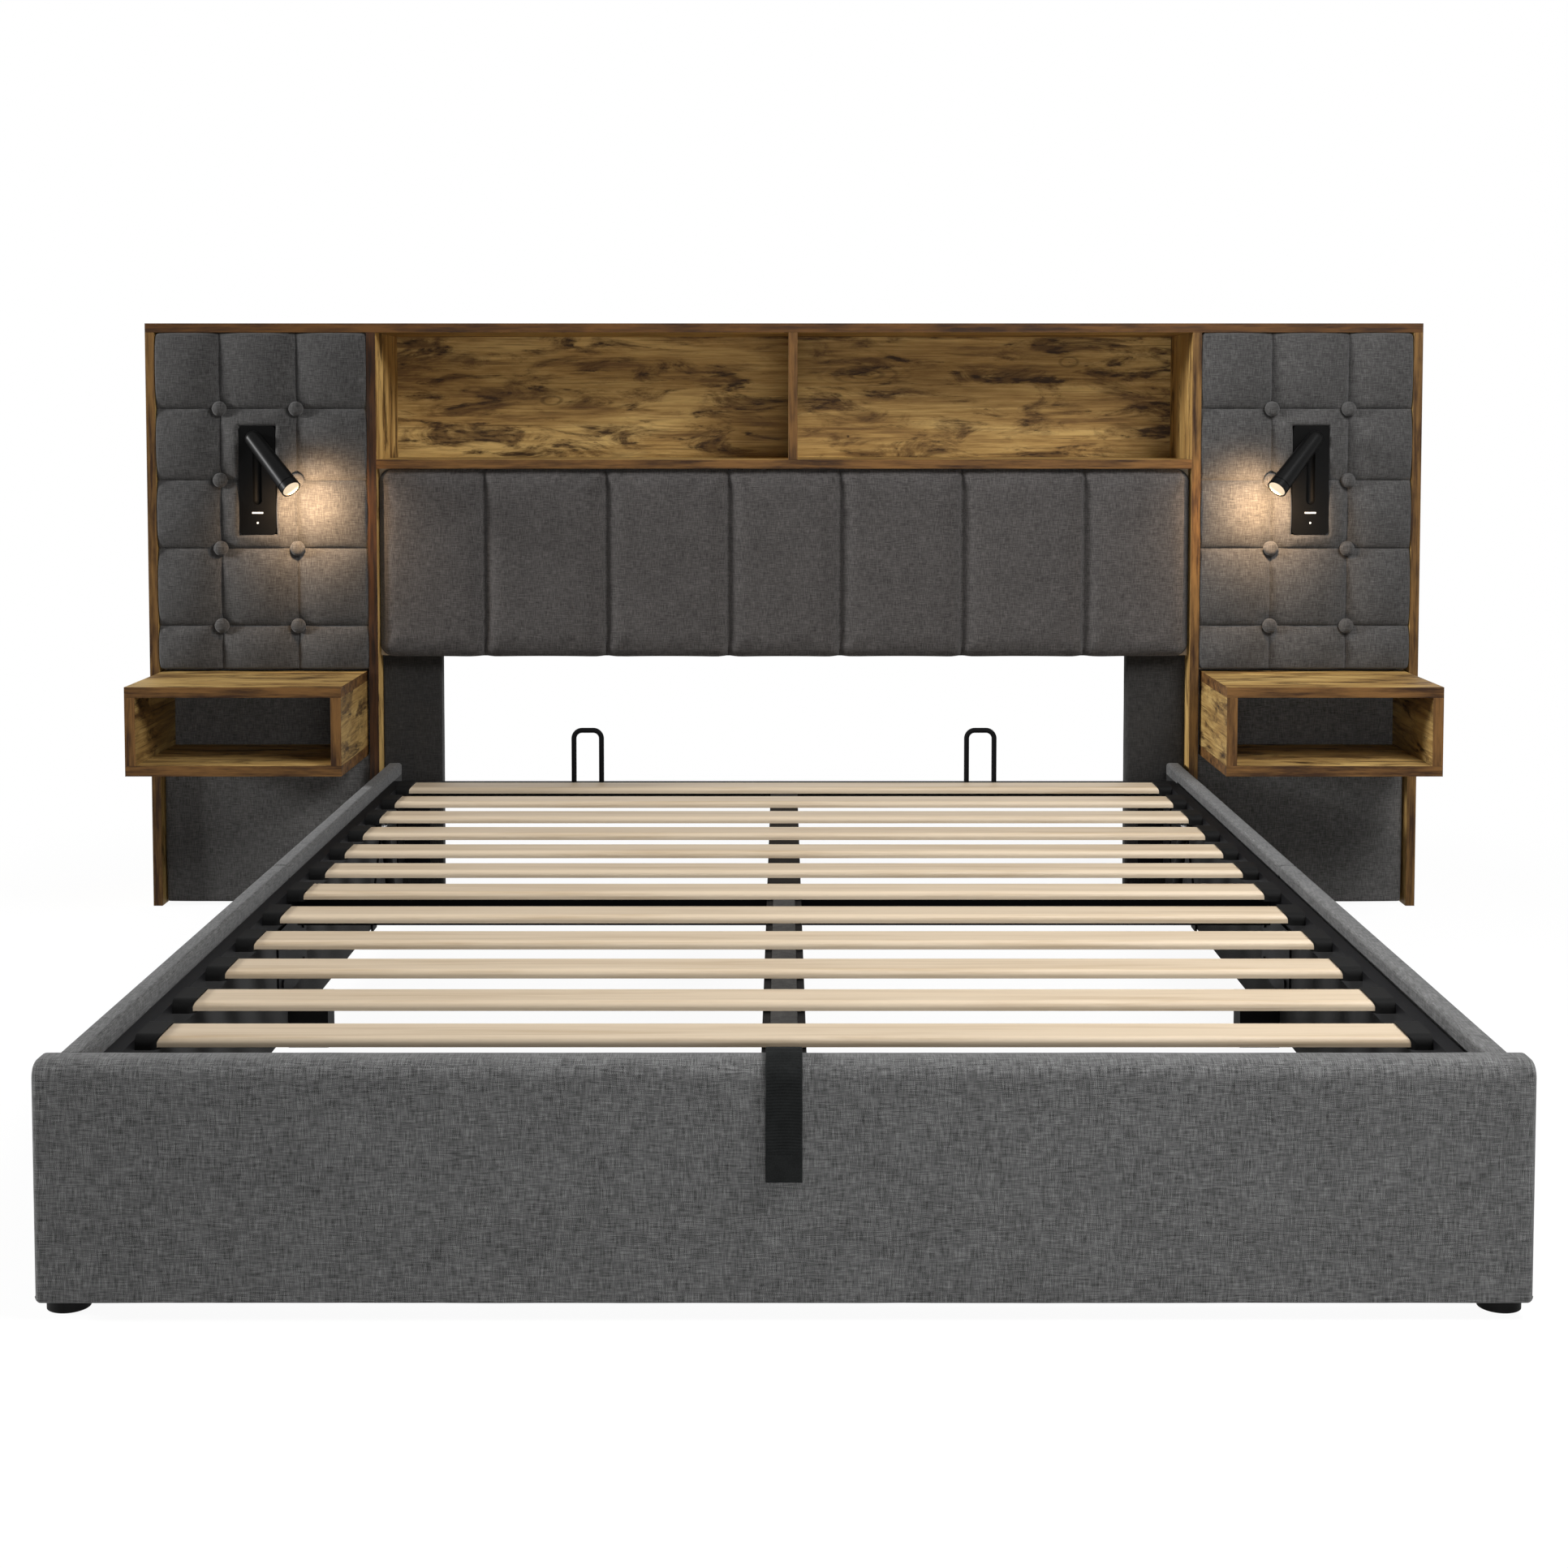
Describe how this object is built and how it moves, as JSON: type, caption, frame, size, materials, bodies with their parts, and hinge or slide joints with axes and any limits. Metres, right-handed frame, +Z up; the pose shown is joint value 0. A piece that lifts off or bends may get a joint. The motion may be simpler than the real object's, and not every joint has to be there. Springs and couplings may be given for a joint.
{
  "type": "upholstered lift-storage bed",
  "caption": "Queen bed with a wide wood bookcase headboard, tufted and channelled grey pads, floating nightstands, reading lamps and a lift-up slatted base.",
  "frame": {"origin": "on the floor, under the middle of the whole bed", "axes": "+X across the bed to the right seen from the foot, +Y from the foot to the headboard, +Z up"},
  "size_m": [2.544, 2.3876, 1.171],
  "materials": {
    "rustic_wood": "satin",
    "plywood": "matte",
    "birch_slat": "satin",
    "headboard_linen": "matte",
    "bed_linen": "matte",
    "webbing": "matte",
    "felt": "matte",
    "black_steel": "satin",
    "black_plastic": "matte",
    "lamp_black": "matte",
    "lamp_lens": "gloss",
    "lamp_light": "gloss",
    "bright_steel": "satin",
    "strut_chrome": "gloss"
  },
  "bodies": {
    "bed_base": {"bookcase_back": "rustic_wood", "bookcase_divider": "rustic_wood", "bookcase_shelf": "rustic_wood", "centre_pad": "headboard_linen", "corner_blocks": "black_plastic", "footboard": "bed_linen", "front_feet": "black_plastic", "head_brackets": "black_steel", "headboard_backing_boards": "plywood", "headboard_inner_post_left": "rustic_wood", "headboard_inner_post_right": "rustic_wood", "headboard_legs": "headboard_linen", "headboard_outer_post_left": "rustic_wood", "headboard_outer_post_right": "rustic_wood", "headboard_top_board": "rustic_wood", "hinge_plates": "black_steel", "lamp_housings": "lamp_black", "lamp_indicators": "lamp_light", "lamp_plate_left": "lamp_black", "lamp_plate_right": "lamp_black", "mid_feet": "black_plastic", "nightstand_bottom_left": "rustic_wood", "nightstand_bottom_right": "rustic_wood", "nightstand_rods": "bright_steel", "nightstand_sides_left": "rustic_wood", "nightstand_sides_right": "rustic_wood", "nightstand_top_left": "rustic_wood", "nightstand_top_right": "rustic_wood", "rail_joint_plates": "black_steel", "side_rail_front_left": "bed_linen", "side_rail_front_right": "bed_linen", "side_rail_rear_left": "bed_linen", "side_rail_rear_right": "bed_linen", "wing_buttons": "headboard_linen", "wing_lower_panels": "headboard_linen", "wing_pad_left": "headboard_linen", "wing_pad_right": "headboard_linen"},
    "lift_frame": {"frame_side_bars": "black_steel", "frame_end_bars": "black_steel", "frame_mid_bars": "black_steel", "centre_bar_rear": "black_steel", "centre_bar_front": "black_steel", "centre_bar_felt": "felt", "slats": "birch_slat", "slat_holders": "black_plastic", "mattress_stops": "black_steel", "strap_hanger": "black_steel"},
    "pull_strap": {"pull_strap": "webbing"},
    "strut_cylinder_left": {"strut_cylinder_left": "black_steel"},
    "strut_rod_left": {"strut_rod_left": "strut_chrome"},
    "lamp_swivel_left": {"lamp_swivel_left": "lamp_black"},
    "lamp_head_left": {"lamp_head_left": "lamp_black", "lamp_lens_left": "lamp_lens"},
    "lamp_switch_left": {"lamp_switch_left": "lamp_light"},
    "strut_cylinder_right": {"strut_cylinder_right": "black_steel"},
    "strut_rod_right": {"strut_rod_right": "strut_chrome"},
    "lamp_swivel_right": {"lamp_swivel_right": "lamp_black"},
    "lamp_head_right": {"lamp_head_right": "lamp_black", "lamp_lens_right": "lamp_lens"},
    "lamp_switch_right": {"lamp_switch_right": "lamp_light"}
  },
  "joints": [
    {"name": "lift_hinge", "type": "hinge", "parent": "bed_base", "child": "lift_frame", "pos_m": [0, 0.78775, 0.24], "axis": [-1, 0, 0], "range_deg": [0, 40]},
    {"name": "strap_hang", "type": "hinge", "parent": "lift_frame", "child": "pull_strap", "pos_m": [0, -1.12525, 0.219], "axis": [-1, 0, 0], "range_deg": [-40, 0]},
    {"name": "strut_swing_left", "type": "hinge", "parent": "bed_base", "child": "strut_cylinder_left", "pos_m": [-0.735, 0.62062, 0.04083], "axis": [-1, 0, 0], "range_deg": [0, 20]},
    {"name": "strut_slide_left", "type": "slide", "parent": "strut_cylinder_left", "child": "strut_rod_left", "axis": [0, -0.4226, 0.9063], "range_m": [0, 0.15151]},
    {"name": "lamp_swivel_left", "type": "hinge", "parent": "bed_base", "child": "lamp_swivel_left", "pos_m": [-1.05, 0.88475, 0.94201], "axis": [0, -1, 0], "range_deg": [-132, 48]},
    {"name": "lamp_tilt_left", "type": "hinge", "parent": "lamp_swivel_left", "child": "lamp_head_left", "pos_m": [-1.05, 0.88475, 0.94201], "axis": [-0.7431, 0, -0.6691], "range_deg": [-26, 64]},
    {"name": "lamp_press_left", "type": "slide", "parent": "bed_base", "child": "lamp_switch_left", "axis": [0, 1, 0], "range_m": [0, 0.0007], "stiffness_N_per_m": 400},
    {"name": "strut_swing_right", "type": "hinge", "parent": "bed_base", "child": "strut_cylinder_right", "pos_m": [0.735, 0.62062, 0.04083], "axis": [-1, 0, 0], "range_deg": [0, 20]},
    {"name": "strut_slide_right", "type": "slide", "parent": "strut_cylinder_right", "child": "strut_rod_right", "axis": [0, -0.4226, 0.9063], "range_m": [0, 0.15151]},
    {"name": "lamp_swivel_right", "type": "hinge", "parent": "bed_base", "child": "lamp_swivel_right", "pos_m": [1.05, 0.88475, 0.94201], "axis": [0, 1, 0], "range_deg": [-132, 48]},
    {"name": "lamp_tilt_right", "type": "hinge", "parent": "lamp_swivel_right", "child": "lamp_head_right", "pos_m": [1.05, 0.88475, 0.94201], "axis": [-0.7431, 0, 0.6691], "range_deg": [-26, 64]},
    {"name": "lamp_press_right", "type": "slide", "parent": "bed_base", "child": "lamp_switch_right", "axis": [0, 1, 0], "range_m": [0, 0.0007], "stiffness_N_per_m": 400}
  ],
  "couplings": [
    {"joint": "strap_hang", "follows": "lift_hinge", "ratio": -1},
    {"joint": "strut_swing_left", "follows": "lift_hinge", "ratio": 0.5},
    {"joint": "strut_slide_left", "follows": "lift_hinge", "m_per_rad": 0.2163},
    {"joint": "strut_swing_right", "follows": "lift_hinge", "ratio": 0.5},
    {"joint": "strut_slide_right", "follows": "lift_hinge", "m_per_rad": 0.2163}
  ]
}
